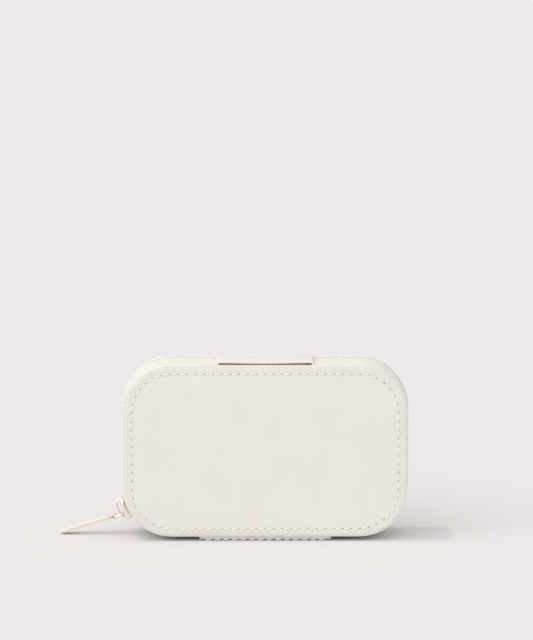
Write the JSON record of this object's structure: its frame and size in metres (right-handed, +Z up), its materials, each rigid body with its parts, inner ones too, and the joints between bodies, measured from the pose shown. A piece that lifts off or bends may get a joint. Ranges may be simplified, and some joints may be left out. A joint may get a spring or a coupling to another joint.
{
  "type": "jewelry box",
  "caption": "Zip-around leather jewelry box with rounded corners, carry strap, hinged lid with mirror and necklace tabs, ring rolls and divided trays.",
  "frame": {"origin": "on the floor, under the middle of the hinge strip the box stands on, in the plane of the zipper's seam", "axes": "+X across the front to the right, -Y out of the front panel, +Z up"},
  "size_m": [0.1886, 0.044, 0.0991],
  "materials": {
    "leather": "fine pebble, satin",
    "lining": "soft short nap",
    "board": "matte",
    "tape": "fine weave",
    "teeth": "satin",
    "gold": "polished, light gold",
    "mirror": "polished"
  },
  "bodies": {
    "back_half": {"back_panel_leather": "leather", "back_panel_board": "board", "back_wall_leather": "leather", "back_wall_board": "board", "back_lining": "lining", "back_zipper_tape": "tape", "back_teeth": "teeth", "back_stop_left": "gold", "back_stop_right": "gold", "hinge_strip_back": "leather", "ring_roll_1": "lining", "ring_roll_2": "lining", "ring_roll_3": "lining", "ring_roll_4": "lining", "ring_roll_5": "lining", "ring_roll_6": "lining", "ring_roll_7": "lining", "divider_main": "lining", "divider_cross": "lining", "divider_small": "lining"},
    "lid": {"front_panel_leather": "leather", "front_panel_board": "board", "front_wall_leather": "leather", "front_wall_board": "board", "front_lining": "lining", "front_zipper_tape": "tape", "front_teeth": "teeth", "front_stop_left": "gold", "front_stop_right": "gold", "hinge_strip_front": "leather", "handle_end_left": "leather", "handle_end_right": "leather", "mirror_frame": "leather", "mirror": "mirror", "necklace_panel": "leather", "necklace_rail": "leather", "snap_socket_1": "gold", "snap_socket_2": "gold", "snap_socket_3": "gold", "chain_pocket": "lining", "pocket_elastic": "lining"},
    "handle": {"handle_grip": "leather"},
    "slider": {"slider_body": "gold", "slider_bail": "gold"},
    "pull": {"pull_link": "gold", "pull_tab": "leather", "pull_rivet": "gold"},
    "necklace_tab_body_1": {"necklace_tab_1": "leather", "snap_cap_1": "gold"},
    "necklace_tab_body_2": {"necklace_tab_2": "leather", "snap_cap_2": "gold"},
    "necklace_tab_body_3": {"necklace_tab_3": "leather", "snap_cap_3": "gold"}
  },
  "joints": [
    {"name": "lid_hinge", "type": "hinge", "parent": "back_half", "child": "lid", "pos_m": [0, -0.001, -0.0002], "axis": [1, 0, 0], "range_deg": [0, 180]},
    {"name": "handle_lift", "type": "slide", "parent": "lid", "child": "handle", "axis": [0, 0, 1], "range_m": [0, 0.006]},
    {"name": "slider_run", "type": "hinge", "parent": "back_half", "child": "slider", "pos_m": [-0.0505, 0, 0.0284], "axis": [0, 1, 0], "range_deg": [-6, 28]},
    {"name": "pull_swing", "type": "hinge", "parent": "slider", "child": "pull", "pos_m": [-0.07715, 0, 0.01142], "axis": [0, 1, 0], "range_deg": [-58, 38]},
    {"name": "necklace_tab_1_open", "type": "hinge", "parent": "lid", "child": "necklace_tab_body_1", "pos_m": [0.014, -0.015, 0.079], "axis": [1, 0, 0], "range_deg": [0, 95]},
    {"name": "necklace_tab_2_open", "type": "hinge", "parent": "lid", "child": "necklace_tab_body_2", "pos_m": [0.034, -0.015, 0.079], "axis": [1, 0, 0], "range_deg": [0, 95]},
    {"name": "necklace_tab_3_open", "type": "hinge", "parent": "lid", "child": "necklace_tab_body_3", "pos_m": [0.054, -0.015, 0.079], "axis": [1, 0, 0], "range_deg": [0, 95]}
  ]
}
